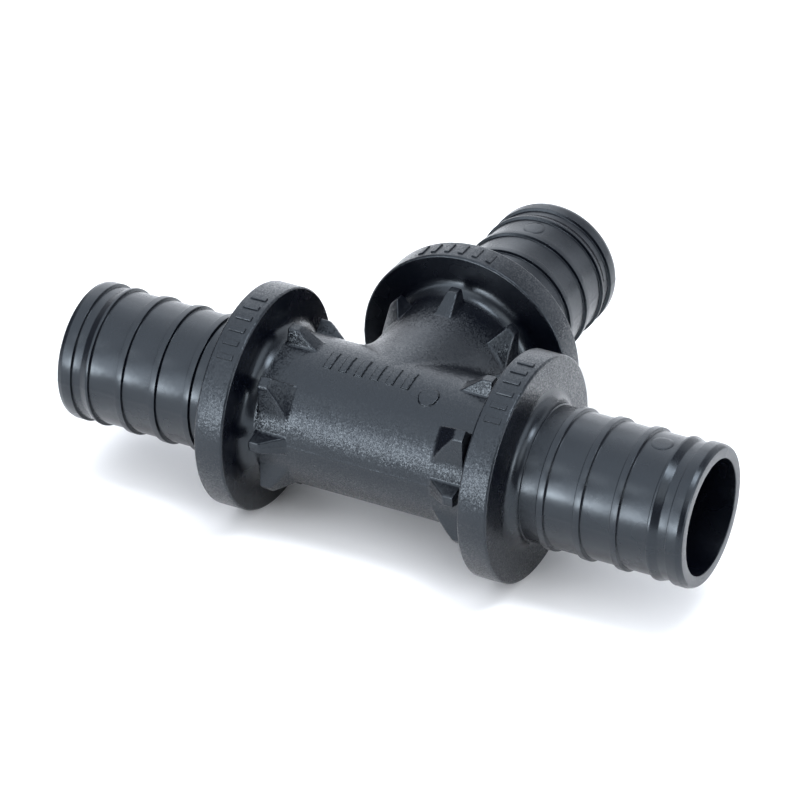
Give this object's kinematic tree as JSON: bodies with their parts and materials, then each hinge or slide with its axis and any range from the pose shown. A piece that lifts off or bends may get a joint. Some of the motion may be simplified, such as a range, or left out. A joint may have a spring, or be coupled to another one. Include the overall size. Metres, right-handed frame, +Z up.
{
  "type": "compression-sleeve pipe tee",
  "caption": "Equal plastic pipe tee with ringed spigots, thrust collars and wedge lugs, moulded in one piece with an open waterway through run and branch.",
  "frame": {"origin": "on the surface that the fitting lies on, below the middle of its outline; the run and branch axes cross at x 0, y -24.0 mm, z 21.5 mm", "axes": "+X along the run, +Y out of the branch, +Z up, square to the plane of both axes"},
  "size_m": [0.1284, 0.091, 0.043],
  "materials": {
    "black_polymer": "satin injection-moulded polymer with spark-eroded grain on the body and smoother spigots"
  },
  "bodies": {
    "root": {"tee_core": "black_polymer", "lug_crown_left": "black_polymer", "lug_crown_right": "black_polymer", "lug_crown_branch": "black_polymer", "collar_left": "black_polymer", "collar_right": "black_polymer", "collar_branch": "black_polymer", "spigot_left": "black_polymer", "spigot_right": "black_polymer", "spigot_branch": "black_polymer"}
  },
  "joints": []
}
